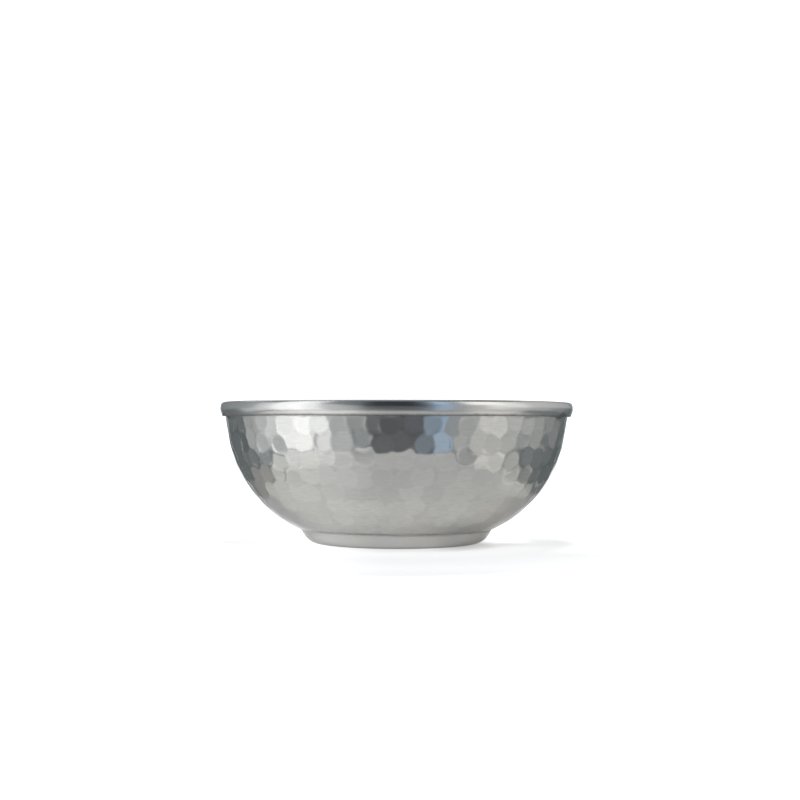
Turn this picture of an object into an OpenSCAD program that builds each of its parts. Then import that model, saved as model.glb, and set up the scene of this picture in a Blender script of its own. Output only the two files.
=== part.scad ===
// Hammam bowl: a raised and planished sheet bowl whose mouth is turned down over a wire,
// standing on a spun foot ring that is soft-soldered under it.
// Millimetres, +Z up, origin on the table under the middle of the foot.

/* [Bowl] */
// Outside diameter over the lip
rim_d = 180; // [150:1:210]
// Height from the table to the top of the lip
bowl_h = 71.5; // [66:0.5:84]
// Thickness of the hammered sheet
sheet_t = 0.9; // [0.7:0.1:1.3]
// Lean of the upper wall from upright, in degrees
wall_flare = 9; // [5:0.5:13]
// Outside radius of the belly's curve, from the upper wall to the floor
belly_r = 62.5; // [58:0.5:66]
// Air between the table and the underside of the floor
floor_clear = 1.8; // [1.4:0.1:3]

/* [Hammer marks] */
// Marks in one row round the bowl
marks_around = 66; // [48:1:68]
// Rows of marks, from under the lip down to the foot
mark_rows = 11; // [8:1:12]
// Depth of a mark in the top row, where marks are widest
mark_depth = 0.25; // [0.15:0.05:0.4]
// Plain band between the lip and the first marks
mark_margin = 1.5; // [1:0.25:3]
// How far a mark strays from its place, as a share of the spacing
mark_stray = 0.2; // [0:0.05:0.3]
// Seed of the stray
mark_seed = 11; // [1:1:99]

/* [Lip] */
// Height of the turned-down lip
lip_h = 7.2; // [6.4:0.1:9]
// Radius of the lip's bulging outer face
lip_bulge_r = 6; // [4:0.5:7]
// Angle at which the top bend runs over into the outer face, in degrees
lip_shoulder = 20; // [14:1:26]
// Lean of the straight band below the bulge, in towards the wall, in degrees
lip_tuck = 20; // [12:1:22]
// Diameter of the wire that the lip is turned over
wire_d = 1.4; // [1:0.1:2]
// Air between the wire and the sheet round it
wire_fit = 0.1; // [0.08:0.01:0.2]
// Gap between the two ends of the wire
wire_gap = 1; // [0.5:0.1:3]

/* [Foot] */
// Height of the seam between foot and bowl above the table
foot_h = 7; // [6:0.25:9]
// Lean of the foot's side from upright, narrowing downwards, in degrees
foot_taper = 31; // [20:1:36]
// Outside radius of the roll between the foot's side and its standing face
foot_roll_r = 8; // [6:0.5:9]
// Thickness of the foot's sheet
foot_t = 1; // [0.8:0.1:1.3]
// Width of the flat standing face
land_w = 6; // [4:0.5:8]

/* [Solder] */
// Thickness of the solder film between the foot's edge and the bowl
solder_film = 0.15; // [0.1:0.05:0.3]
// Length of the fillet inside the foot, along the foot and along the bowl
solder_leg = 2.5; // [1.5:0.5:3]
// Depth of the crease left open outside, where the solder stops short of the foot's face
solder_recess = 0.3; // [0.1:0.1:0.6]

/* [Hidden] */
$fn = 120;

// Lip: the bend over the wire, then the bulging outer face and the band below it
bend_in_r = wire_d / 2 + wire_fit;
bend_out_r = bend_in_r + sheet_t;
lip_swell = lip_bulge_r * (1 - cos(lip_shoulder));
wall_r = rim_d / 2 - lip_swell - bend_out_r * (1 + cos(lip_shoulder)) + sheet_t;
bend_c = [wall_r - sheet_t + bend_out_r, bowl_h - bend_out_r];
bulge_c = bend_c + (bend_out_r - lip_bulge_r) * [cos(lip_shoulder), sin(lip_shoulder)];
lip_base_z = bowl_h - lip_h;
band_h = bulge_c.y - lip_bulge_r * sin(lip_tuck) - lip_base_z;
band_run = -band_h * [tan(lip_tuck), 1];

// Wall: a leaning upper stretch, tangent to the belly's arc, which ends in a flat floor
belly_z = floor_clear + belly_r;
upper_drop = lip_base_z - belly_z + belly_r * sin(wall_flare);
belly_x = wall_r - upper_drop * tan(wall_flare) - belly_r * cos(wall_flare);
belly_c = [belly_x, belly_z];

// Foot: its side runs from the seam on the belly down to a sharp corner that the roll rounds off
seam = [belly_x + sqrt(pow(belly_r, 2) - pow(belly_z - foot_h, 2)), foot_h];
foot_corner = seam.x - foot_h * tan(foot_taper);
roll_c = [foot_corner - foot_roll_r * tan(45 - foot_taper / 2), foot_roll_r];
side_up = [sin(foot_taper), cos(foot_taper)];
side_out = [cos(foot_taper), -sin(foot_taper)];

// Hammer marks: rows sit closer together where the bowl narrows, so that marks keep their shape
upper_len = upper_drop / cos(wall_flare);
seam_lean = asin((belly_z - foot_h) / belly_r);
mark_end = upper_len + belly_r * (seam_lean - wall_flare) * PI / 180;
row_ratio = pow(seam.x / wall_r, 1 / mark_rows);
row_sum = (1 - pow(row_ratio, mark_rows + 1)) / (1 - row_ratio);
row_pitch = (mark_end - mark_margin) / (row_sum - 1 / 3);
half_steps = 2 * marks_around;
stray = rands(-1, 1, 3 * marks_around * (mark_rows + 2), mark_seed);

// Points along an arc about c, both ends included
function arc(c, r, from, to, steps) =
    [for (i = [0:steps]) let (a = from + (to - from) * i / steps) c + r * [cos(a), sin(a)]];

function tail(list) = [for (i = [1:len(list) - 1]) list[i]];
function reversed(list) = [for (i = [len(list) - 1:-1:0]) list[i]];

// Point of the outside wall at a distance down it from the lip, set in by some depth
function wall_point(s, depth) =
    let (lean = wall_flare + max(0, s - upper_len) / belly_r * 180 / PI)
    let (out = [cos(lean), -sin(lean)])
    s > upper_len
        ? belly_c + (belly_r - depth) * out
        : [wall_r, lip_base_z] - s * [sin(wall_flare), cos(wall_flare)] - depth * out;

// Floor and belly on one face of the sheet, from the floor's edge up to a lean of the wall
function belly_line(inset, lean, steps) = arc(belly_c, belly_r - inset, -90, -lean, steps);

// Upper wall and lip, from the hammered outside over the wire and back down the inside
function lip_line() = concat(
    [[wall_r, lip_base_z]],
    arc(bend_c, bend_in_r, 180, lip_shoulder, 4),
    tail(arc(bulge_c, lip_bulge_r - sheet_t, lip_shoulder, -lip_tuck, 2)),
    [for (r = [lip_bulge_r - sheet_t, lip_bulge_r]) bulge_c + r * [cos(lip_tuck), -sin(lip_tuck)] + band_run],
    arc(bulge_c, lip_bulge_r, -lip_tuck, lip_shoulder, 4),
    tail(arc(bend_c, bend_out_r, lip_shoulder, 90, 3)),
    tail(arc(bend_c, bend_out_r, 90, 180, 4))
);

// A place on the wall is [half step round, distance down from the lip]: this is where row j
// strikes at half step h, and how deep
function row_place(j) = mark_margin + row_pitch * ((1 - pow(row_ratio, j)) / (1 - row_ratio) - 1 / 3);
function stray_at(j, h, k) = stray[3 * (j * marks_around + floor((h + half_steps) % half_steps / 2)) + k];
function strike(j, h) = [
    h + 2 * mark_stray * stray_at(j, h, 0),
    row_place(j) + mark_stray * row_pitch * pow(row_ratio, j) * stray_at(j, h, 1)
];
function strike_depth(j, h) = mark_depth * pow(row_ratio, 2 * j) * (1 + mark_stray * stray_at(j, h, 2));

// Three marks meet at each corner on the ridges between row j and the next
function corner(j, h) =
    let (near = (h + j) % 2 == 0 ? j : j + 1, far = 2 * j + 1 - near)
    (strike(near, h) + strike(far, h - 1) + strike(far, h + 1)) / 3;

function round_at(place, depth) =
    let (p = wall_point(place.y, depth), a = 360 * place.x / half_steps)
    [p.x * cos(a), p.x * sin(a), p.y];
function ring(p, n) = [for (i = [0:n - 1]) [p.x * cos(360 * i / n), p.x * sin(360 * i / n), p.y]];

function points_before(rings, k) = k == 0 ? 0 : points_before(rings, k - 1) + len(rings[k - 1]);

// Hammered sheet in one piece: floor, belly, upper wall and turned-down lip
module bowl_shell() {
    under = [for (p = belly_line(0, seam_lean + 4, 3)) ring(p, marks_around)];
    ridges = [for (j = [mark_rows:-1:0]) [for (h = [0:half_steps - 1]) round_at(corner(j, h), 0)]];
    lip = [for (p = lip_line()) ring(p, half_steps)];
    inside = [for (p = reversed(belly_line(sheet_t, wall_flare, 10))) ring(p, marks_around)];
    inner_corner = [wall_r - sheet_t, lip_base_z + sheet_t * tan(wall_flare / 2)];
    rings = concat([[[0, 0, floor_clear]]], under, ridges, lip,
        [ring(inner_corner, marks_around)], inside, [[[0, 0, floor_clear + sheet_t]]]);
    hollows = [for (j = [mark_rows:-1:1]) for (i = [0:marks_around - 1])
        let (h = 2 * i + j % 2) round_at(strike(j, h), strike_depth(j, h))];

    starts = [for (k = [0:len(rings)]) points_before(rings, k)];
    function at(k, h) = starts[k] + floor(h % half_steps * len(rings[k]) / half_steps);
    first_ridge = 1 + len(under);

    // Plain strips between neighbouring rings, without the triangles that a coarser ring shuts
    strips = [for (k = [0:len(rings) - 2]) if (k < first_ridge || k >= first_ridge + mark_rows)
        for (h = [0:half_steps - 1])
            let (a = at(k, h), b = at(k, h + 1), c = at(k + 1, h + 1), d = at(k + 1, h))
                each concat(a == b ? [] : [[c, b, a]], c == d ? [] : [[d, c, a]])];

    // Each mark is a six-sided fan about its hollow
    marks = [for (row = [0:mark_rows - 1]) for (i = [0:marks_around - 1])
        let (k = first_ridge + row, h = 2 * i + (mark_rows - row) % 2 + half_steps)
        let (low = [for (d = [-1:1]) at(k, h + d)], high = [for (d = [1:-1:-1]) at(k + 1, h + d)])
        let (edge = concat(low, high), middle = starts[len(rings)] + row * marks_around + i)
            for (m = [0:5]) [edge[(m + 1) % 6], edge[m], middle]];

    points = concat([for (r = rings) each r], hollows);
    color("silver") polyhedron(points, concat(strips, marks), convexity = 6);
}

// Wire hoop shut in the lip, its two ends a small gap apart at the back
module rim_wire() {
    gap_angle = 360 * wire_gap / (2 * PI * bend_c.x);
    color("dimgray") rotate([0, 0, 90 + gap_angle / 2])
        rotate_extrude(angle = 360 - gap_angle)
            translate(bend_c) circle(d = wire_d, $fn = 32);
}

// Disc that the belly's outside curve belongs to, grown by a film
module belly_disc(film) {
    translate(belly_c) circle(r = belly_r + film, $fn = 720);
}

// Section of the foot: standing face, roll and side, its upper edge cut to the belly's curve
module foot_section() {
    side_end = seam + 2 * foot_t * side_up;
    land_start = roll_c.x - land_w;
    difference() {
        polygon(concat(
            [[land_start, 0]],
            arc(roll_c, foot_roll_r, -90, -foot_taper, 10),
            [side_end, side_end - foot_t * side_out],
            arc(roll_c, foot_roll_r - foot_t, -foot_taper, -90, 10),
            [[land_start, foot_t]]
        ));
        belly_disc(solder_film);
    }
}

// Spun ring that the bowl stands on
module foot_ring() {
    color("silver") rotate_extrude() foot_section();
}

// Solder that holds the foot: a fillet inside it and a film across its upper edge
module foot_solder() {
    inner_face = seam - foot_t * side_out;
    along = (inner_face - belly_c) * side_up;
    off = inner_face - belly_c;
    meet = inner_face - (along + sqrt(along * along - off * off + belly_r * belly_r)) * side_up;
    meet_angle = atan2(meet.y - belly_z, meet.x - belly_x);
    run_angle = meet_angle - solder_leg / belly_r * 180 / PI;
    toe = meet - solder_leg * side_up;
    run = belly_c + belly_r * [cos(run_angle), sin(run_angle)];
    film_end = seam - solder_recess * side_out;
    color("gray") rotate_extrude() difference() {
        polygon([toe, run, film_end + foot_t * side_up, film_end - foot_t * side_up]);
        foot_section();
        belly_disc(0);
    }
}

bowl_shell();
rim_wire();
foot_ring();
foot_solder();
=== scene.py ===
# %% [markdown]
# # A hammered hammam bowl
#
# A bath-house bowl is raised from one sheet of white metal. The smith hammers the wall into flat
# facets, turns the mouth down over a wire and solders a spun ring under it as a foot.
# The solids already stand in the right place, in metres, with +Z up and the table at z = 0.
# This lesson dresses them: the hammered sheet and the foot are made again as finer meshes at the
# same sizes, and each metal gets a finish of its own.

import math

import bpy
import numpy as np
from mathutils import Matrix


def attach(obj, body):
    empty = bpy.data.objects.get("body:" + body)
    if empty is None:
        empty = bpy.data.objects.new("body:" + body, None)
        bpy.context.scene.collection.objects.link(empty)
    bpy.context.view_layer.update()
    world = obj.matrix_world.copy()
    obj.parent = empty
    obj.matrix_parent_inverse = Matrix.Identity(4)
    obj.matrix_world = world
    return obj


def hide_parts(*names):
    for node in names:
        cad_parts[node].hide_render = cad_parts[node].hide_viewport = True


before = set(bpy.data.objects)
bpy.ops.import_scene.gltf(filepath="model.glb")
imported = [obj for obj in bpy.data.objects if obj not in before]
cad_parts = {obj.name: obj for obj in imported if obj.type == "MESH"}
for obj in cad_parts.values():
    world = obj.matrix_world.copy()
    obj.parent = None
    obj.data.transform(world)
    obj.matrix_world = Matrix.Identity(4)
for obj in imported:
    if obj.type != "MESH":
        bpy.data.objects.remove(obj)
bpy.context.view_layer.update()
print("solids:", sorted(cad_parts))

# %% [markdown]
# ## The camera
#
# The bowl is seen from straight in front with the eye a little below the lip, so the inside stays
# hidden and the lip's underside shows as a thin dark line. A lens of 62 mm on a 36 mm sensor at
# 71 cm gives the same gentle perspective. The camera looks up by a little over one degree, which
# puts the horizon just below the middle of the picture without any lens shift, and it is held a
# seventh of a degree off level.

# %% Camera
SENSOR, LENS = 36.0, 61.83
EYE = (0.00177, -0.7064, 0.05907)
LOOK_UP, ROLL = 1.119, -0.144

camera = bpy.data.objects.new("camera", bpy.data.cameras.new("camera"))
bpy.context.scene.collection.objects.link(camera)
camera.data.sensor_width = SENSOR
camera.data.lens = LENS
camera.location = EYE
camera.rotation_euler = (math.radians(90 + LOOK_UP), math.radians(ROLL), 0)
bpy.context.scene.camera = camera
bpy.context.scene.view_settings.view_transform = "Standard"
print("camera", tuple(round(c, 4) for c in camera.location), "lens", round(camera.data.lens, 2))

# %% [markdown]
# ## Shader sums as plain expressions
#
# Every finish below varies over the surface, and that takes many small nodes. They could be wired
# one by one, but then nobody can read the sum. So one class wraps a socket, and `0.2 + 0.1 * mask`
# adds the Math nodes by itself. Its `node` method makes any other node: first the settings, then
# the values or links of its sockets.

# %% A socket that can be calculated with
class Tone:
    def __init__(self, tree, socket):
        self.tree = tree
        self.socket = socket

    def node(self, kind, settings, sockets, out=0):
        made = self.tree.nodes.new("ShaderNode" + kind)
        for key, value in settings.items():
            setattr(made, key, value)
        for key, value in sockets.items():
            if isinstance(value, Tone):
                self.tree.links.new(value.socket, made.inputs[key])
            else:
                made.inputs[key].default_value = value
        return Tone(self.tree, made.outputs[out])

    def math(self, operation, first, second):
        return self.node("Math", {"operation": operation}, {0: first, 1: second})

    def __add__(self, other):
        return self.math("ADD", self, other)

    def __sub__(self, other):
        return self.math("SUBTRACT", self, other)

    def __rsub__(self, other):
        return self.math("SUBTRACT", other, self)

    def __mul__(self, other):
        return self.math("MULTIPLY", self, other)

    def __truediv__(self, other):
        return self.math("DIVIDE", self, other)

    def __rtruediv__(self, other):
        return self.math("DIVIDE", other, self)

    __radd__ = __add__
    __rmul__ = __mul__


print("sums on sockets: + - * /")

# %% [markdown]
# A finish starts from Blender's Principled shader. What is the same all over a piece is set on the
# shader's own sockets, and what varies is fed to them. Patterns are laid in the piece's own
# coordinates, in metres, so no mesh has to be unwrapped, and none slides when the camera moves.

# %% Starting a finish
def new_finish(name, **constants):
    """A material, its shader, and the place that every pattern is laid in."""
    material = bpy.data.materials.new(name)
    material.use_nodes = True
    shader = material.node_tree.nodes["Principled BSDF"]
    for key, value in constants.items():
        shader.inputs[key.replace("_", " ")].default_value = value
    place = material.node_tree.nodes.new("ShaderNodeTexCoord").outputs["Object"]
    return material, shader, Tone(material.node_tree, place)


def feed(shader, **values):
    for key, tone in values.items():
        tone.tree.links.new(tone.socket, shader.inputs[key.replace("_", " ")])


print("a finish is a material, its shader and a place")

# %% Masks and mixtures
def coordinate(place, axis):
    return place.node("SeparateXYZ", {}, {0: place}, out=axis)


def distance_out(x, y):
    return x.node("Math", {"operation": "SQRT"}, {0: x * x + y * y})


def rising(value, low, high):
    """A soft step: 0 below low, 1 above high."""
    return value.node("MapRange", {"interpolation_type": "SMOOTHSTEP"},
                      {"Value": value, "From Min": low, "From Max": high})


def falling(value, low, high):
    return 1.0 - rising(value, low, high)


def mixed(mask, first, second):
    return mask.node("Mix", {"data_type": "RGBA"}, {0: mask, 6: first, 7: second}, out=2)


print("masks rise and fall, and mix two colours")

# %% Patterns that several finishes share
NEVER_ZERO = 1e-5


def clouds(place, scale, detail=4.0, roughness=0.55):
    return place.node("TexNoise", {}, {"Vector": place, "Scale": scale, "Detail": detail,
                                       "Roughness": roughness})


def turning_lines(place, across, along):
    """Fine lines round the bowl's axis: a noise that changes fast across and slowly along them."""
    x, y, z = (coordinate(place, axis) for axis in range(3))
    radius = distance_out(x, y)
    round_x = x / (radius + NEVER_ZERO) * along
    round_y = y / (radius + NEVER_ZERO) * along
    stretched = place.node("CombineXYZ", {}, {0: round_x, 1: round_y, 2: (radius + z) * across})
    return place.node("TexNoise", {}, {"Vector": stretched, "Scale": 1.0, "Detail": 3.0})


def bump(height, depth):
    return height.node("Bump", {}, {"Strength": 1.0, "Distance": depth, "Height": height})


print("patterns: clouds, turning lines, bump")

# %% [markdown]
# ## The bowl's meridian
#
# A bowl like this is fully told by the line that a cut through its axis shows. The upper wall
# leans out by nine degrees and runs over into one long arc down to a flat floor. These are the
# sizes of the solids, in millimetres, so the finer mesh lies where the solid lies.

# %% Sizes of the sheet
MM = 0.001
rim_r = 90.0  # outside radius over the lip
bowl_h = 71.5  # height over the table
sheet_t = 0.9  # thickness of the metal
flare = math.radians(9)  # lean of the upper wall
belly_r = 62.5  # radius of the belly's arc
floor_clear = 1.8  # air under the floor
lip_h = 7.2  # height of the turned-down lip
bulge_r = 6.0  # radius of the lip's outer face
shoulder = tuck = math.radians(20)  # angles at which that face starts and ends
bend_in = 0.8  # inner radius of the bend over the wire
bend_out = bend_in + sheet_t
foot_h = 7.0  # height of the seam between foot and belly
print("bowl", 2 * rim_r, "mm wide and", bowl_h, "mm tall")

# %% The wall's line
lip_swell = bulge_r * (1 - math.cos(shoulder))
wall_r = rim_r - lip_swell - bend_out * (1 + math.cos(shoulder)) + sheet_t
lip_base = bowl_h - lip_h
belly_z = floor_clear + belly_r
upper_drop = lip_base - belly_z + belly_r * math.sin(flare)
upper_len = upper_drop / math.cos(flare)
belly_x = wall_r - upper_drop * math.tan(flare) - belly_r * math.cos(flare)
belly_c = np.array((belly_x, belly_z))
floor_s = upper_len + belly_r * (math.pi / 2 - flare)


def wall_line(s):
    """Points and outward normals of the outside wall, at distances s down it from the lip."""
    s = np.asarray(s, float)
    lean = flare + np.maximum(s - upper_len, 0) / belly_r
    normals = np.column_stack((np.cos(lean), -np.sin(lean)))
    upper = np.column_stack((wall_r - s * math.sin(flare), lip_base - s * math.cos(flare)))
    belly = belly_c + belly_r * normals
    return np.where((s < upper_len)[:, None], upper, belly), normals


print("wall radius under the lip", round(wall_r, 2), "mm, wall length", round(floor_s, 1), "mm")

# %% [markdown]
# ## Where the hammer fell
#
# Planishing leaves round facets about nine millimetres wide, in rows, each struck a little off its
# place. A bump pattern could draw them, but a polished facet shows by what it mirrors, so each one
# needs a plane of its own: a point on the wall and a normal that is tilted by a degree or two,
# because no hand holds the hammer quite square. The smith works up from the foot to the lip, and
# not in a strict order, so a later mark covers the edge of an earlier one.

# %% Rows of blows
FIRST_ROW, LAST_ROW, ROW_STEP = 3.6, 70, 0.94
MARK_SIZE, MARK_GROWTH, STRAY = 8.9, 0.02, 0.20
OUT_OF_TURN = 8

rng = np.random.default_rng(7)
rows = []
s = FIRST_ROW
while s < LAST_ROW:
    size = MARK_SIZE + MARK_GROWTH * s
    radius = wall_line([s])[0][0, 0]
    count = round(2 * math.pi * radius / size)
    step = 2 * math.pi / count
    angles = step * (np.arange(count) + rng.uniform() + rng.uniform(-STRAY, STRAY, count))
    rows.append(np.column_stack((angles, s + rng.uniform(-STRAY, STRAY, count) * size)))
    s += ROW_STEP * size
blows = np.vstack(rows)
blows = blows[np.argsort(rng.normal(0, OUT_OF_TURN, len(blows)) - blows[:, 1])]
print(len(blows), "blows in", len(rows), "rows,", len(rows[0]), "round the top row")

# %% Plane and outline of each blow
MOST_TILT = 1.6
HALF_LEAST, HALF_MOST, HALF_GROWTH = 5.4, 6.0, 0.012


def round_about(points, angles):
    """Points of the meridian, radius and height, turned to angles about the bowl's axis."""
    radius = points[..., 0]
    height = np.broadcast_to(points[..., 1], np.shape(angles * radius))
    return np.stack((radius * np.cos(angles), radius * np.sin(angles), height), axis=-1)


line, out = wall_line(blows[:, 1])
tilt_round, tilt_down = np.radians(rng.uniform(-MOST_TILT, MOST_TILT, (2, len(blows))))
lean = np.arctan2(-out[:, 1], out[:, 0]) + tilt_down
blow_n = round_about(np.column_stack((np.cos(lean), -np.sin(lean))), blows[:, 0] + tilt_round)
blow_p = round_about(line, blows[:, 0])
half_sizes = rng.uniform(HALF_LEAST, HALF_MOST, (2, len(blows)))
blow_wide, blow_tall = half_sizes + HALF_GROWTH * blows[:, 1]
blow_shade = rng.uniform(0, 1, len(blows))
print("half a mark is", round(blow_wide.min(), 1), "to", round(blow_wide.max(), 1), "mm")

# %% [markdown]
# ## Planishing the wall
#
# The blows fall one after the other on a fine grid over the wall. Inside its outline a blow presses
# the wall to its own plane, just so deep that the plane meets the old surface along its outline.
# Cutting flat planes off a solid would leave knife edges. Here the edge is a soft step, about a
# millimetre and a half wide, as polishing leaves it. The same step notes which blow a point belongs
# to and how near a mark's edge it is, so that the finish can follow the marks.

# %% A fine grid over the wall
SEGMENTS, WALL_RINGS, FLOOR_RINGS = 1080, 146, 11
MARKS_END, BARE_FROM = 72, 74
angles = np.linspace(0, 2 * math.pi, SEGMENTS, endpoint=False)
wall_s = np.concatenate((np.linspace(0, MARKS_END, WALL_RINGS),
                         np.linspace(BARE_FROM, floor_s, FLOOR_RINGS)))
line, out = wall_line(wall_s)
point = round_about(line[:, None], angles[None])
normal = round_about(out[:, None], angles[None])
sunk, shade, ridge = np.zeros((3, len(wall_s), SEGMENTS))
print("grid of", len(wall_s), "rings with", SEGMENTS, "points each")

# %% Strike the wall, blow by blow
SOFT_EDGE = 0.26  # share of a mark's half size
HOLLOW = 0.03  # mm, since the hammer's face is not quite flat
LOOK_BESIDE = 1.3  # half sizes to either side, to be sure of the whole mark


def angle_between(a, b):
    return np.angle(np.exp(1j * (a - b)))


for k, (angle, s) in enumerate(blows):
    off = angle_between(angles, angle)
    near = np.flatnonzero(np.abs(wall_s - s) < blow_tall[k])
    beside = np.flatnonzero(np.abs(off) * line[near, 0].max() < LOOK_BESIDE * blow_wide[k])
    patch = np.ix_(near, beside)
    away = np.hypot(np.outer(line[near, 0], off[beside]) / blow_wide[k],
                    (wall_s[near, None] - s) / blow_tall[k])
    soft = np.clip((1 - away) / SOFT_EDGE, 0, 1)
    soft = soft * soft * (3 - 2 * soft)
    rise = (blow_p[k] - point[patch]) @ blow_n[k] / (normal[patch] @ blow_n[k])
    rise += HOLLOW * away ** 2
    edge = (away > 1 - SOFT_EDGE) & (away < 1)
    rise += (sunk[patch][edge] - rise[edge]).mean()
    sunk[patch] += soft * (rise - sunk[patch])
    shade[patch] += soft * (blow_shade[k] - shade[patch])
    ridge[patch] = ridge[patch] * (1 - soft) + 4 * soft * (1 - soft)
print("marks sink to", round(sunk.min(), 3), "mm, edges rise to", round(sunk.max(), 3), "mm")

# %% [markdown]
# The marks are crisp under the lip and almost gone at the foot, where the smith burnished the belly
# and where hands and tables have rubbed it since. So the depth fades on the way down, and two
# light passes of smoothing take the last hardness off the edges.

# %% Fade and smooth the marks
PLAIN_TOP = 0.8  # mm under the lip that the hammer can't reach
FADE_FROM, FADE_OVER, FADE_BY, FADE_CURVE = 36, 32, 0.75, 1.2
fade = np.clip(wall_s / PLAIN_TOP, 0, 1)
fade *= 1 - FADE_BY * np.clip((wall_s - FADE_FROM) / FADE_OVER, 0, 1) ** FADE_CURVE
fade[wall_s > MARKS_END] = 0
sunk *= fade[:, None]
for _ in range(2):
    sunk = (np.roll(sunk, 1, 1) + 2 * sunk + np.roll(sunk, -1, 1)) / 4
    sunk[1:-1] = (sunk[:-2] + 2 * sunk[1:-1] + sunk[2:]) / 4
print("after smoothing:", round(sunk.min(), 3), "to", round(sunk.max(), 3), "mm")

# %% [markdown]
# ## One sheet, from the floor's underside over the lip to the inside
#
# The real bowl is one piece of metal, so it is one mesh: a grid of rings. It starts under the
# floor, climbs the hammered outside, turns over the wire, comes down the back of the lip, goes
# round its cut edge, up its outer face and over the top, and runs down the inside. A Solidify
# modifier would be quicker, but it can't turn a lip over a wire. The inside was backed by a
# polished stake, so the marks show there only faintly.

# %% The lip's line
def arc(centre, radius, start, end, steps):
    a = np.linspace(start, end, steps + 1)
    return np.array(centre) + radius * np.column_stack((np.cos(a), np.sin(a)))


bend_c = np.array((wall_r - sheet_t + bend_out, bowl_h - bend_out))
bulge_c = bend_c + (bend_out - bulge_r) * np.array((math.cos(shoulder), math.sin(shoulder)))
edge_c = bulge_c + (bulge_r - sheet_t / 2) * np.array((math.cos(tuck), -math.sin(tuck)))
band = edge_c[1] - sheet_t / 2 - lip_base
edge_c -= band * np.array((math.tan(tuck), 1))

in_fold = np.vstack((arc(bend_c, bend_in, math.pi, shoulder, 12),
                     arc(bulge_c, bulge_r - sheet_t, shoulder, -tuck, 8)[1:]))
cut_edge = arc(edge_c, sheet_t / 2, math.pi - tuck, 2 * math.pi - tuck, 6)[1:]
lip_face = np.vstack((arc(bulge_c, bulge_r, -tuck, shoulder, 14),
                      arc(bend_c, bend_out, shoulder, math.pi, 18)[1:]))
lip = np.vstack((in_fold, cut_edge, lip_face))
print("lip rings", len(lip), "lowest", round(lip[:, 1].min(), 2), "mm")

# %% [markdown]
# No lip is turned quite true by hand. Slow waves draw it in by about a tenth of a millimetre, and
# its free edge hangs unevenly by as much. That is hard to see by itself, but without it the lip's
# reflection is a line ruled by a machine.

# %% The rings in their order
SHOW_THROUGH = 0.35  # how much of a mark's depth reaches the inside
under_r = np.linspace(1.2, belly_x - 2.4, 8)
under = [round_about(np.array((r, floor_clear)), angles) for r in under_r]
outside = [round_about(line[i] + sunk[i][:, None] * out[i], angles)
           for i in range(len(wall_s) - 1, -1, -1)]

WAVE, DROOP, HANGS_OVER = 0.03, 0.05, 4
wave = WAVE * (np.sin(3 * angles + 1) + np.sin(7 * angles + 2) - 2)
droop = DROOP * (np.sin(5 * angles) + np.sin(11 * angles + 1) + np.sin(23 * angles + 4))
hang = np.clip((bulge_c[1] - lip[:, 1]) / HANGS_OVER, 0, 1)
turned_lip = [round_about(np.column_stack((p[0] + wave, p[1] + h * droop)), angles)
              for p, h in zip(lip, hang)]

inner_i = list(range(2, len(wall_s), 3))
inside = [round_about(line[i] + (SHOW_THROUGH * sunk[i][:, None] - sheet_t) * out[i], angles)
          for i in inner_i]
floor = [round_about(np.array((r, floor_clear + sheet_t)), angles) for r in under_r[::-1]]

parts = (under, outside, turned_lip, inside, floor)
rings = np.vstack(parts)
counts = [len(part) for part in parts]
outside_at, lip_at, inside_at, floor_at = np.cumsum(counts)[:4]
print("rings under, outside, lip, inside, floor:", counts)

# %% [markdown]
# The finish has to know things that only the making of the mesh knows: which blow struck a point,
# how near a ridge is, where the corners are darkened and how much a place is paled. Each becomes a
# number at every point of the mesh. Painted shade sits in the fold, along the cut edge of the lip,
# in the corner under it and a little at the foot's seam, with a few darker clumps. The paling of
# the lower belly is partly burnish and partly painted light.

# %% Marks, ridges and paling, partly painted light
PALER_FROM, PALER_OVER = 26, 36
FAINT = 0.4  # of a ridge, on the inside
facts = {name: np.zeros(rings.shape[:2]) for name in ("mark", "ridge", "shade_and_dirt", "burnish_and_sheen")}
seen_ridge = ridge * fade[:, None]
facts["mark"][outside_at:lip_at] = shade[::-1]
facts["mark"][inside_at:floor_at] = shade[inner_i]
facts["ridge"][outside_at:lip_at] = seen_ridge[::-1]
facts["ridge"][inside_at:floor_at] = FAINT * seen_ridge[inner_i]
# the lower belly is paled: partly burnish, partly painted light that stands for the table's
# reflection
paling = np.clip((wall_s - PALER_FROM) / PALER_OVER, 0, 1)
facts["burnish_and_sheen"][outside_at:lip_at] = paling[::-1, None]
print("points in the sheet:", rings.shape[0] * rings.shape[1])

# %% Painted shade and dirt in the corners
CLUMPS = ((3.42, 0.035), (5.86, 0.05), (1.9, 0.06), (0.7, 0.04))  # bearing and width
EDGE_SHADE, EDGE_RINGS = 0.68, 10
clumps = sum(np.exp(-(angle_between(angles, at) / width) ** 2) for at, width in CLUMPS)
foot_s = upper_len + belly_r * (math.asin((belly_z - foot_h) / belly_r) - flare)
# painted shade: the wall is darkened in the corner under the lip and a little at the foot's seam
shade_under_lip = 0.7 * np.exp(-wall_s / 0.5)
shade_at_seam = 0.12 * np.exp(-np.abs(wall_s - foot_s) / 0.8)
hanging = np.outer(np.exp(-wall_s / 1.6), 1.6 * clumps)
on_wall = (shade_under_lip + shade_at_seam)[:, None] + hanging
facts["shade_and_dirt"][outside_at:lip_at] = np.clip(on_wall, 0, 1)[::-1]

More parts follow.
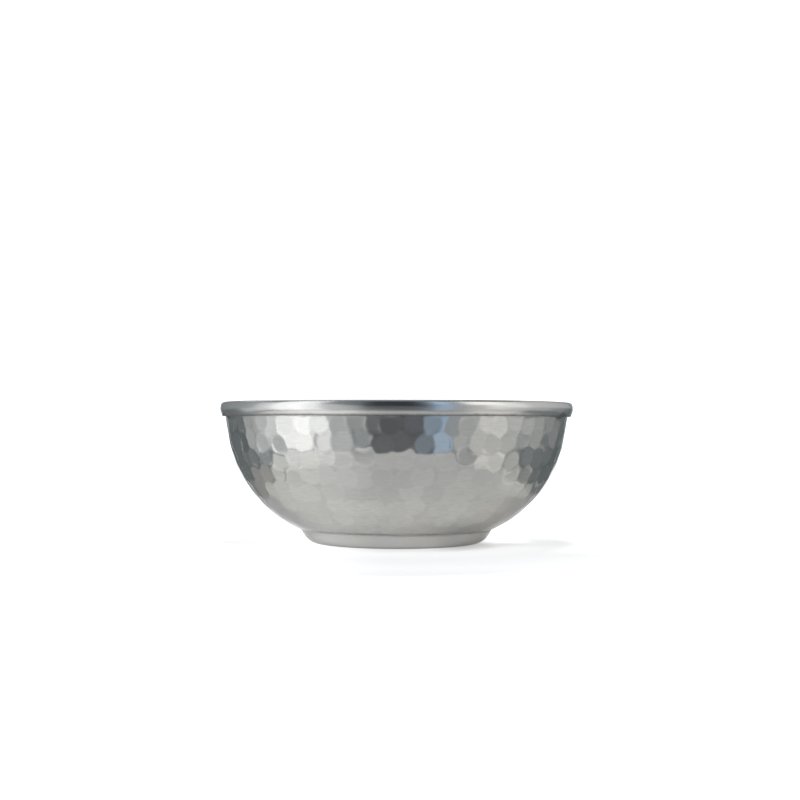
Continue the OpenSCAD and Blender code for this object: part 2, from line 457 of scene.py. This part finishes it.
# the fold and the lip's cut edge are darkened all round as painted shade, with darker clumps
edge_at = lip_at + len(in_fold) - 1
facts["shade_and_dirt"][lip_at:edge_at] = 1.0
on_edge = np.where(np.arange(EDGE_RINGS) < 1 + len(cut_edge), EDGE_SHADE, 0.0)[:, None]
on_edge = on_edge + np.outer(np.linspace(1, 0.5, EDGE_RINGS), clumps)
facts["shade_and_dirt"][edge_at:edge_at + EDGE_RINGS] = np.clip(on_edge, 0, 1)
print("dirt in", int((facts["shade_and_dirt"] > 0.5).sum()), "points")

# %% [markdown]
# A grid of rings becomes a mesh in one go: neighbouring rings are joined by quads. The sheet is
# shut by a point under the floor and one on it. The foot's ring is shut by joining its last ring
# to its first.

# %% From rings to a mesh
def mesh_from_rings(name, rings, poles=()):
    count, around = rings.shape[:2]
    index = np.arange(count * around).reshape(count, around)
    low = index[:-1] if poles else index
    high = index[1:] if poles else np.roll(index, -1, axis=0)
    quads = np.stack((low, np.roll(low, -1, 1), np.roll(high, -1, 1), high), axis=-1)
    points = rings.reshape(-1, 3).tolist() + [list(pole) for pole in poles]
    faces = quads.reshape(-1, 4).tolist()
    if poles:
        first, last = index[0].tolist(), index[-1].tolist()
        faces += [[len(points) - 2, first[i], first[i - 1]] for i in range(around)]
        faces += [[len(points) - 1, last[i - 1], last[i]] for i in range(around)]
    mesh = bpy.data.meshes.new(name)
    mesh.from_pydata([[c * MM for c in p] for p in points], [], faces)
    mesh.polygons.foreach_set("use_smooth", [True] * len(faces))
    piece = bpy.data.objects.new(name, mesh)
    bpy.context.scene.collection.objects.link(piece)
    print(name, len(faces), "faces")
    return piece


# %% The hammered sheet
poles = ((0, 0, floor_clear), (0, 0, floor_clear + sheet_t))
sheet = mesh_from_rings("hammered_bowl", rings, poles)
for name, values in facts.items():
    layer = sheet.data.attributes.new(name, "FLOAT", "POINT")
    layer.data.foreach_set("value", np.append(values.ravel(), (0, 0)).astype(np.float32))

HAMMERED, POLISHED, SCOURED = range(3)
finish_of_ring = np.full(len(rings) - 1, HAMMERED)
finish_of_ring[lip_at - 1:inside_at - 1] = POLISHED
finish_of_ring[inside_at - 1:] = SCOURED
finish_of_pole = np.array((HAMMERED, SCOURED))
finish_of_face = np.repeat(np.append(finish_of_ring, finish_of_pole), SEGMENTS)
sheet.data.polygons.foreach_set("material_index", finish_of_face.astype(np.int32))
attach(sheet, "root")
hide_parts("bowl_shell")
print("faces hammered, polished, scoured:", np.bincount(finish_of_face))

# %% [markdown]
# ## The foot
#
# The foot was spun on a lathe, so it is smooth where the bowl is hammered. Its side leans in
# towards the table and rolls over into a flat standing face. Its upper edge is filed to the belly
# and set tight on it, and the solder that came out of the seam was wiped to a fillet of about a
# millimetre. A Screw modifier could turn the section, but the rings are already at hand.

# %% The foot's side and its edge on the belly
foot_t, land_w, roll_r, taper = 1.0, 6.0, 8.0, math.radians(31)
BITE = 0.04  # mm that the edge sinks into the belly, so that no light shows through
seam = np.array((belly_x + math.sqrt(belly_r ** 2 - (belly_z - foot_h) ** 2), foot_h))
up = np.array((math.sin(taper), math.cos(taper)))
outward = np.array((math.cos(taper), -math.sin(taper)))
corner = seam[0] - foot_h * math.tan(taper)
roll_c = np.array((corner - roll_r * math.tan(math.pi / 4 - taper / 2), roll_r))
land = roll_c[0] - land_w


def edge_on_belly(point):
    """Where a line up the foot's side, through a point, meets the belly."""
    off = point - belly_c
    along = off @ up
    return point - (along + math.sqrt(along ** 2 - off @ off + (belly_r - BITE) ** 2)) * up


top_out, top_in = edge_on_belly(seam), edge_on_belly(seam - foot_t * outward)
print("foot seam at", seam.round(2), "mm, standing face from", round(land, 1), "to",
      round(roll_c[0], 1), "mm")

# %% Section of the foot
EDGE_R = 0.25  # rounding of the standing face's inner edge
CHAMFER = 0.06  # at the upper edge, inside
FILLET_DOWN, FILLET_UP = 0.9, 0.8  # legs of the solder's fillet, on the foot and on the belly
across = (top_in - top_out) / np.linalg.norm(top_in - top_out)
seam_n = (top_out - belly_c) / np.linalg.norm(top_out - belly_c)
up_belly = np.array((-seam_n[1], seam_n[0]))
on_foot = top_out - FILLET_DOWN * up
on_belly = top_out + FILLET_UP * up_belly - 0.02 * seam_n
bend = np.linspace(0, 1, 6)[:, None]
fillet = (1 - bend) ** 2 * on_foot + 2 * bend * (1 - bend) * top_out + bend ** 2 * on_belly
behind_fillet = top_out + 1.1 * up_belly - 0.15 * seam_n
section = np.vstack((
    arc((land + EDGE_R, foot_t - EDGE_R), EDGE_R, math.pi / 2, math.pi, 4),
    arc((land + EDGE_R, EDGE_R), EDGE_R, math.pi, 1.5 * math.pi, 4),
    arc(roll_c, roll_r, -math.pi / 2, -taper, 20),
    fillet,
    [behind_fillet, top_in - CHAMFER * across, top_in - CHAMFER * up],
    arc(roll_c, roll_r - foot_t, -taper, -math.pi / 2, 12),
))
print("section of the foot has", len(section), "points")

# %% The foot, turned
FOOT_SEGMENTS = 480
turn = np.linspace(0, 2 * math.pi, FOOT_SEGMENTS, endpoint=False)
foot = mesh_from_rings("spun_foot", np.array([round_about(p, turn) for p in section]))
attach(foot, "root")
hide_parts("foot_ring")

# %% [markdown]
# ## The white metal
#
# Polished nickel silver is nearly colourless and a little warm. What the eye sees on it is the
# room, so the finish mostly says how sharp and how bright the reflection is. One even roughness
# would look like plastic foil. Each facet took the polish a little differently, and ridges were
# rubbed brightest. The lower belly is paler and more even, partly from burnish and partly as
# painted light for the table's reflection, with fine brushed lines round it and yellow in places.
# Painted shade darkens the corners under the lip and at the foot's seam, with a little old polish,
# and painted light brightens the belly just above the seam.

# %% Facets of the hammered outside
EDGE_ON = (0.55, 0.555, 0.56, 1)  # what the metal's reflection tends to when it is seen edge-on
OLD_YELLOW = (0.47, 0.43, 0.34, 1)
# a dark tone for old polish and for painted shade in the corners
OLD_POLISH_AND_SHADE = (0.10, 0.095, 0.085, 1)
hammered, shader, place = new_finish("hammered white metal", Metallic=1.0, Specular_Tint=EDGE_ON)


def noted(place, name):
    """A number that the mesh carries at every point."""
    return place.node("Attribute", {"attribute_name": name}, {}, out=2)


mark, ridges, shade_and_dirt, burnish_and_sheen = (noted(place, name) for name in facts)
smears = clouds(place, 60.0)
facet = mark * (1.0 - 0.6 * burnish_and_sheen) + 0.3 * burnish_and_sheen
clean = mixed(0.7 * facet + 0.3 * smears, (0.355, 0.352, 0.337, 1), (0.458, 0.453, 0.438, 1))
clean = mixed(ridges * 0.12, clean, (0.52, 0.516, 0.50, 1))
print("facets follow", ", ".join(facts))

# %% Paler lower belly: burnish and painted light
yellowed = rising(clouds(place, 26.0, 3.0), 0.50, 0.72) * burnish_and_sheen
mottle = rising(clouds(place, 130.0, 5.0, 0.65), 0.35, 0.65)
# a paler, more even tone: partly burnish, partly painted light for the table's reflection
rubbed_and_lit = mixed(0.55 * mark + 0.45 * mottle, (0.472, 0.467, 0.449, 1), (0.562, 0.557, 0.529, 1))
clean = mixed(burnish_and_sheen * 0.8, clean, rubbed_and_lit)
clean = mixed(yellowed * 0.35, clean, OLD_YELLOW)
brushed = rising(turning_lines(place, 1100.0, 16.0), 0.35, 0.7)
clean = mixed(brushed * 0.20, clean, (0.31, 0.308, 0.295, 1))
# painted light: the belly just above the foot's seam is lightened where the seam's shade falls, and
# made a little rougher
painted_seam_light = falling(coordinate(place, 2), 0.0074, 0.0100)
clean = mixed(painted_seam_light * 0.25, clean, (0.68, 0.675, 0.655, 1))
print("belly burnished, brushed and wiped")

# %% Tarnish, painted shade and polish of the outside
specks = rising(clouds(place, 900.0, 2.0), 0.62, 0.78)
# this mask darkens the corners under the lip and at the seam as painted shade, with a little old
# polish from the noise
tarnish_and_shade = rising(shade_and_dirt + 0.5 * clouds(place, 220.0) - 0.25, 0.15, 0.95)
aged_and_shaded = mixed(tarnish_and_shade * 0.8, clean, OLD_POLISH_AND_SHADE)
polish = 0.14 + 0.04 * mark + 0.08 * smears + 0.06 * specks + 0.25 * tarnish_and_shade + 0.10 * painted_seam_light
streaks = turning_lines(place, 2600.0, 14.0)
feed(shader, Base_Color=aged_and_shaded, Roughness=polish, Normal=bump(streaks, 0.000012))
sheet.data.materials.append(hammered)
print(hammered.name, "has", len(hammered.node_tree.nodes), "nodes")

# %% [markdown]
# The lip was turned over and then polished along its length, so it has no marks, only the finest
# lines round it. It could share the wall's finish, but its dark is of another kind: a black line
# of painted shade along the cut edge, where the lip tucks against the wall.

# %% Polished lip
polished, shader, place = new_finish("polished lip", Metallic=1.0, Specular_Tint=EDGE_ON)
smears = clouds(place, 90.0)
# this mask darkens the lip's cut edge and its fold as painted shade, with some old polish from the
# noise
tarnish_and_shade = rising(noted(place, "shade_and_dirt") + 0.4 * clouds(place, 260.0) - 0.2, 0.25, 0.9)
clean = mixed(smears, (0.41, 0.407, 0.397, 1), (0.46, 0.457, 0.446, 1))
aged_and_shaded = mixed(tarnish_and_shade * 0.85, clean, (0.09, 0.085, 0.08, 1))
streaks = turning_lines(place, 4200.0, 10.0)
feed(shader, Base_Color=aged_and_shaded, Roughness=0.18 + 0.10 * smears + 0.25 * tarnish_and_shade,
     Normal=bump(streaks, 0.000008))
sheet.data.materials.append(polished)
print(polished.name, "has", len(polished.node_tree.nodes), "nodes")

# %% [markdown]
# The inside was never struck on its face. It keeps fine rings from scouring, and years of water
# have left pale tide marks that are duller than the metal around them. They could be drawn as plain
# stripes, but water never stood quite level. A noise that changes with height, and wanders a little
# on the way round, gives the tides, and a second one the dried drops.

# %% Scoured inside
scoured, shader, place = new_finish("scoured inside", Metallic=1.0, Specular_Tint=EDGE_ON)
wander = clouds(place, 28.0)
level = place.node("CombineXYZ", {}, {2: coordinate(place, 2) + 0.006 * wander})
tides = rising(clouds(level, 260.0, 2.0), 0.48, 0.62)
drops = rising(clouds(place, 75.0, 5.0, 0.65), 0.56, 0.66)
dull = 0.5 * tides + 0.5 * drops
clean = mixed(wander, (0.46, 0.457, 0.442, 1), (0.53, 0.526, 0.51, 1))
stained = mixed(dull * 0.45, clean, (0.60, 0.595, 0.57, 1))
streaks = turning_lines(place, 1900.0, 9.0)
feed(shader, Base_Color=stained, Roughness=0.17 + 0.10 * wander + 0.14 * dull,
     Normal=bump(streaks, 0.00002))
sheet.data.materials.append(scoured)
print(scoured.name, "has", len(scoured.node_tree.nodes), "nodes")

# %% [markdown]
# The foot is the same metal, smooth from the lathe. It is worn and scratched where it stands, a
# little yellow, and the wiped fillet at its top is satin, with smudges of old flux. Painted shade
# darkens a thin line along its bottom edge and, faintly, the crease under the seam. Height alone
# tells these bands apart, so no numbers on the mesh are needed here.

# %% Spun foot
spun, shader, place = new_finish("spun white metal", Metallic=1.0, Specular_Tint=EDGE_ON)
smears = clouds(place, 70.0)
height = coordinate(place, 2)
worn = falling(height, 0.0, 0.0012)
crease = rising(height, 0.0040, 0.0075)
satin = rising(height, 0.0059, 0.0067)
clean = mixed(smears, (0.44, 0.436, 0.423, 1), (0.51, 0.506, 0.491, 1))
yellowed = rising(clouds(place, 26.0, 3.0), 0.48, 0.70)
clean = mixed(yellowed * 0.4, clean, OLD_YELLOW)
smudge = satin * rising(clouds(place, 60.0, 3.0), 0.42, 0.60)
# painted shade faintly at the crease and in a thin line along the bottom edge where the foot
# stands, plus smudges of old flux
grime_and_shade = 0.04 * crease + 0.22 * smudge + 0.35 * falling(height, 0.0003, 0.0012)
aged_and_shaded = mixed(grime_and_shade, clean, OLD_POLISH_AND_SHADE)
scratches = rising(clouds(place, 1400.0, 2.0), 0.55, 0.7) * worn
polish = 0.15 + 0.10 * smears + 0.15 * worn + 0.15 * scratches + 0.1 * crease + 0.2 * satin
streaks = turning_lines(place, 3000.0, 8.0)
feed(shader, Base_Color=aged_and_shaded, Roughness=polish, Normal=bump(streaks, 0.000015))
foot.data.materials.append(spun)
print(spun.name, "has", len(spun.node_tree.nodes), "nodes")

# %% [markdown]
# Two pieces keep their solid shape, since they are shut in: the iron wire inside the lip, which
# rusts a little where water stood in the fold, and the wiped ring of solder inside the foot.

# %% Iron wire and solder
iron, shader, place = new_finish("iron wire", Metallic=1.0)
rust = rising(clouds(place, 340.0, 6.0, 0.65), 0.46, 0.62)
feed(shader, Base_Color=mixed(rust, (0.16, 0.155, 0.15, 1), (0.11, 0.045, 0.02, 1)),
     Roughness=0.4 + 0.45 * rust, Metallic=1.0 - 0.9 * rust, Normal=bump(rust, 0.00004))
tin, shader, place = new_finish("soft solder", Metallic=1.0)
lumps = clouds(place, 420.0, 3.0)
grey = mixed(lumps, (0.26, 0.26, 0.255, 1), (0.40, 0.40, 0.39, 1))
feed(shader, Base_Color=grey, Roughness=0.38 + 0.2 * lumps, Normal=bump(lumps, 0.00025))
for node, finish in (("rim_wire", iron), ("foot_solder", tin)):
    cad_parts[node].data.materials.clear()
    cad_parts[node].data.materials.append(finish)
    print(node, "takes", finish.name)

# %% [markdown]
# ## The studio
#
# A polished bowl is a mirror, so the studio is its picture. The bowl stands on an oval light table,
# and the belly looks down at it. The upper wall and the lip look over the table's edge into a grey
# room with a pale floor, a tall window on the left, a softer one on the right and a strip of cool
# daylight between. A dark card and a grey curtain behind the camera give the lip and the wall their
# dark middle, and a white sheet hangs behind the bowl.

# %% A piece of the stage
def stage_piece(name, points, faces, *materials):
    mesh = bpy.data.meshes.new(name)
    mesh.from_pydata(points, [], faces)
    for material in materials:
        mesh.materials.append(material)
    piece = bpy.data.objects.new(name, mesh)
    bpy.context.scene.collection.objects.link(piece)
    print(name, "stands")
    return piece


def upright(name, half_width, y, low, high, material):
    """A sheet that hangs square to the camera."""
    points = [(-half_width, y, low), (half_width, y, low),
              (half_width, y, high), (-half_width, y, high)]
    return stage_piece(name, points, [(0, 1, 2, 3)], material)


print("stage pieces are not part of the bowl")

# %% [markdown]
# An evenly lit table would make the belly look like flat paint. On a real table the light is
# uneven: stronger on the window's side, weaker in the bowl's own shade and towards the front edge.
# Here the table glows like a lamp, and its glow paints this in as painted light and painted shade:
# a sum of patches, each a soft step in x, y or the distance from the middle.

# %% Painted light of the table
MATT = 0.9
table_top, shader, place = new_finish("light table", Roughness=MATT, Emission_Strength=1.0,
                                      Base_Color=(0.45, 0.45, 0.45, 1))
x, y = (coordinate(place, axis) for axis in range(2))
reach = distance_out(x, y)
near = falling(reach, 0.045, 0.064)
close = rising(reach, 0.050, 0.062) * falling(reach, 0.070, 0.090)
lit = falling(x, -0.06, 0.0)
outer = rising(x, 0.0, 0.05) * rising(y, -0.065, -0.035) * rising(reach, 0.082, 0.104)
behind = rising(y, -0.012, 0.01) * falling(reach, 0.058, 0.075)
glow = 0.64 + 0.22 * lit + 0.05 * close + 0.20 * (near * lit) + 0.30 * outer + 0.28 * behind
print("table glows by", len(table_top.node_tree.nodes), "nodes")

# %% Painted shade on the table
beside = rising(y, -0.035, -0.005) * falling(y, 0.005, 0.035)
beside = beside * rising(reach, 0.048, 0.058) * falling(reach, 0.085, 0.108)
beside = beside * (1.0 - 0.6 * rising(x, 0.04, 0.07))
shaded = near * rising(x, 0.012, 0.035) * falling(x, 0.044, 0.056)
front = falling(y, -0.165, -0.12)
shade_sum = 0.24 * shaded + 0.26 * (beside * (1.0 - behind)) + 0.10 * front
feed(shader, Emission_Color=glow - shade_sum)

plinth_side, shader, place = new_finish("plinth side", Roughness=MATT, Emission_Strength=1.0,
                                        Base_Color=(0.6, 0.6, 0.6, 1))
# the side glows like a lamp, and less towards the back: painted shade on its far side
feed(shader, Emission_Color=0.85 - 0.8 * rising(coordinate(place, 1), 0.02, 0.075))
print(table_top.name, "and", plinth_side.name, "ready")

# %% [markdown]
# The plinth is an oval column with a softly rounded edge, built as four rings and one top face. It
# reaches well forward of the bowl and ends under its far lip, so that the camera looks past it to
# the white sheet.

# %% Plinth
WIDE, DEEP, MIDDLE_Y, AROUND = 0.104, 0.1275, -0.0375, 128
PROFILE = ((0.004, -0.0002), (0.0012, -0.0012), (0, -0.004), (0, -0.30))  # inset and height
turn = [2 * math.pi * i / AROUND for i in range(AROUND)]
points = [((WIDE - inset) * math.cos(a), MIDDLE_Y + (DEEP - inset) * math.sin(a), z)
          for inset, z in PROFILE for a in turn]
faces = [tuple(range(AROUND))]
for k in range(len(PROFILE) - 1):
    for i in range(AROUND):
        here, there = k * AROUND, (k + 1) * AROUND
        following = (i + 1) % AROUND
        faces.append((here + i, there + i, there + following, here + following))
sides = len(faces) - 1
plinth = stage_piece("plinth", points, faces, table_top, plinth_side)
plinth.data.polygons.foreach_set("material_index", [0] + [1] * sides)
plinth.data.polygons.foreach_set("use_smooth", [False] + [True] * sides)

# %% [markdown]
# The white sheet gives off its own light, so that it stays white however the lamps are set. The
# dark card and the curtain below it stand behind the camera and are seen only in the metal. The
# curtain's folds are painted shade on a flat card, because a plain card would fill the middle
# facets with one flat tone.

# %% White sheet, dark card and grey curtain
WHITE = (1, 1, 1, 1)
white_sheet = new_finish("white sheet", Roughness=MATT, Base_Color=WHITE, Emission_Color=WHITE,
                         Emission_Strength=1.0)[0]
upright("backdrop", 2.0, 6.0, -1.9, 2.2, white_sheet)

dark = new_finish("dark card", Roughness=MATT, Base_Color=(0.03, 0.036, 0.046, 1))[0]
curtain, shader, place = new_finish("grey curtain", Roughness=MATT)
painted_folds = rising(clouds(place, 9.0, 2.0), 0.38, 0.62)
hem = mixed(painted_folds, (0.19, 0.20, 0.22, 1), (0.30, 0.315, 0.35, 1))
cloth = mixed(painted_folds, (0.14, 0.138, 0.15, 1), (0.24, 0.245, 0.265, 1))
feed(shader, Base_Color=mixed(rising(coordinate(place, 2), -0.45, -0.32), hem, cloth))
for name, low, high, finish in (("dark_card", 0.08, 1.5, dark), ("grey_card", -0.8, 0.08, curtain)):
    upright(name, 0.45, -1.25, low, high, finish).visible_camera = False

# %% [markdown]
# The room itself is the world: grey walls, a light ceiling towards the back and a pale floor of
# boards below. It is told by direction alone, and the floor starts a little lower at the right
# back, where the bowl's edge mirrors a darker corner.

# %% Grey room
world = bpy.data.worlds.new("grey room")
world.use_nodes = True
tree = world.node_tree
way = Tone(tree, tree.nodes.new("ShaderNodeTexCoord").outputs["Generated"])
to_right, to_back, upward = (coordinate(way, axis) for axis in range(3))
walls, ceiling = (0.32, 0.36, 0.385, 1), (0.8, 0.8, 0.8, 1)
room = mixed(rising(upward + 0.6 * to_back, 0.95, 1.15), walls, ceiling)
boards = mixed(rising(0.0 - upward, 0.57, 0.66), (0.76, 0.762, 0.74, 1), (0.83, 0.82, 0.79, 1))
dark_corner = rising(to_right, 0.35, 0.6) * rising(to_back, 0.30, 0.5)
down = 0.15 * to_back + 0.08 * rising(to_back, 0.4, 0.9) - upward - 0.05 * dark_corner
room = mixed(rising(down, 0.475, 0.515), room, boards)
tree.links.new(room.socket, tree.nodes["Background"].inputs["Color"])
bpy.context.scene.world = world
print(world.name, "has", len(tree.nodes), "nodes")

# %% [markdown]
# Each window pane is an area lamp that stands between two bearings and two heights, in degrees as
# they are seen from the bowl. Bearings count from the camera, to the right. A picture of a room
# wrapped round the scene would do the same, but panes can be moved one at a time until each stripe
# of light on the metal sits where it should.

# %% One pane
AWAY = 1.3  # m from the bowl
BOWL_HEIGHT = 0.05


def window_light(name, left, right, low, high, level, colour):
    bearing = math.radians((left + right) / 2)
    width = 2 * AWAY * math.tan(math.radians(right - left) / 2)
    base, top = (AWAY * math.tan(math.radians(a)) for a in (low, high))
    pane = bpy.data.lights.new(name, "AREA")
    pane.shape = "RECTANGLE"
    pane.size, pane.size_y = width, top - base
    pane.energy = math.pi * level * width * (top - base)
    pane.color = colour
    lamp = bpy.data.objects.new(name, pane)
    lamp.location = (AWAY * math.sin(bearing), -AWAY * math.cos(bearing),
                     BOWL_HEIGHT + (base + top) / 2)
    lamp.rotation_euler = (math.pi / 2, 0, bearing)
    lamp.visible_camera = False
    bpy.context.scene.collection.objects.link(lamp)
    print(name, round(width, 2), "by", round(top - base, 2), "m at level", level)
    return lamp


print("panes stand", AWAY, "m from the bowl")

# %% Windows
PLAIN, COOL, WARM = (1, 1, 1), (0.46, 0.68, 1.0), (1.0, 0.965, 0.925)
WARMER = (1.0, 0.95, 0.87)
PANES = (  # name, bearings left and right, heights low and high, level, colour
    ("far_left", -150, -98, -3, 45, 0.3, PLAIN),
    ("left_return", -116, -98, -20, -3, 0.64, PLAIN),
    ("left_frame", -98, -83, -19, 27, 0.95, PLAIN),
    ("left_sash", -83, -71, -21, 50, 2.0, PLAIN),
    ("left_window", -70, -59, -23, 50, 2.3, PLAIN),
    ("left_blind", -58, -48, -23, 50, 1.8, PLAIN),
    ("left_wall", -48, -33, -30, 18, 0.70, PLAIN),
    ("left_corner", -33, -22, -30, 8, 0.5, PLAIN),
    ("low_frame", -102, -81, -45, -24, 0.8, PLAIN),
    ("low_left", -81, -46, -45, -24, 1.08, PLAIN),
    ("low_corner", -45, -26, -45, -31, 0.92, PLAIN),
    ("cool_strip", 23.5, 34, -30, 20, 0.9, COOL),
    ("cool_top", 23.5, 34, 20, 45, 1.5, COOL),
    ("right_wall", 34, 43, -30, 15, 0.26, WARM),
    ("right_frame", 43, 56, -30, 15, 0.6, WARM),
    ("right_window", 56, 74, -18, 0, 1.08, WARM),
    ("right_blind", 74, 90, -18, 0, 0.68, WARM),
    ("right_sill", 56, 90, 0, 15, 1.3, WARM),
    ("right_pane", 44, 72, 15, 45, 1.9, WARM),
    ("right_sash", 72, 90, 15, 45, 1.3, WARM),
    ("low_front", 54, 90, -45, -18.5, 0.63, WARM),
    ("far_right", 90, 150, 2, 45, 0.75, WARM),
    ("low_right", 90, 113, -14, 2, 0.46, WARM),
    ("right_return", 113, 138, -11, 2, 0.27, WARMER),
)
for pane in PANES:
    window_light(*pane)
print(len(PANES), "panes stand round the bowl")

# %% [markdown]
# One lamp hangs over the bowl's back, tilted towards it. It lights the inside, which no window
# reaches, and draws the bright line on top of the lip.

# %% Skylight
skylight = window_light("skylight", -20, 20, -22, 22, 1.6, PLAIN)
skylight.location = (-0.25, 0.75, 1.05)
skylight.rotation_euler = (math.radians(-35.5), 0, math.radians(18.4))
print("skylight", skylight.location.z, "m above the table")
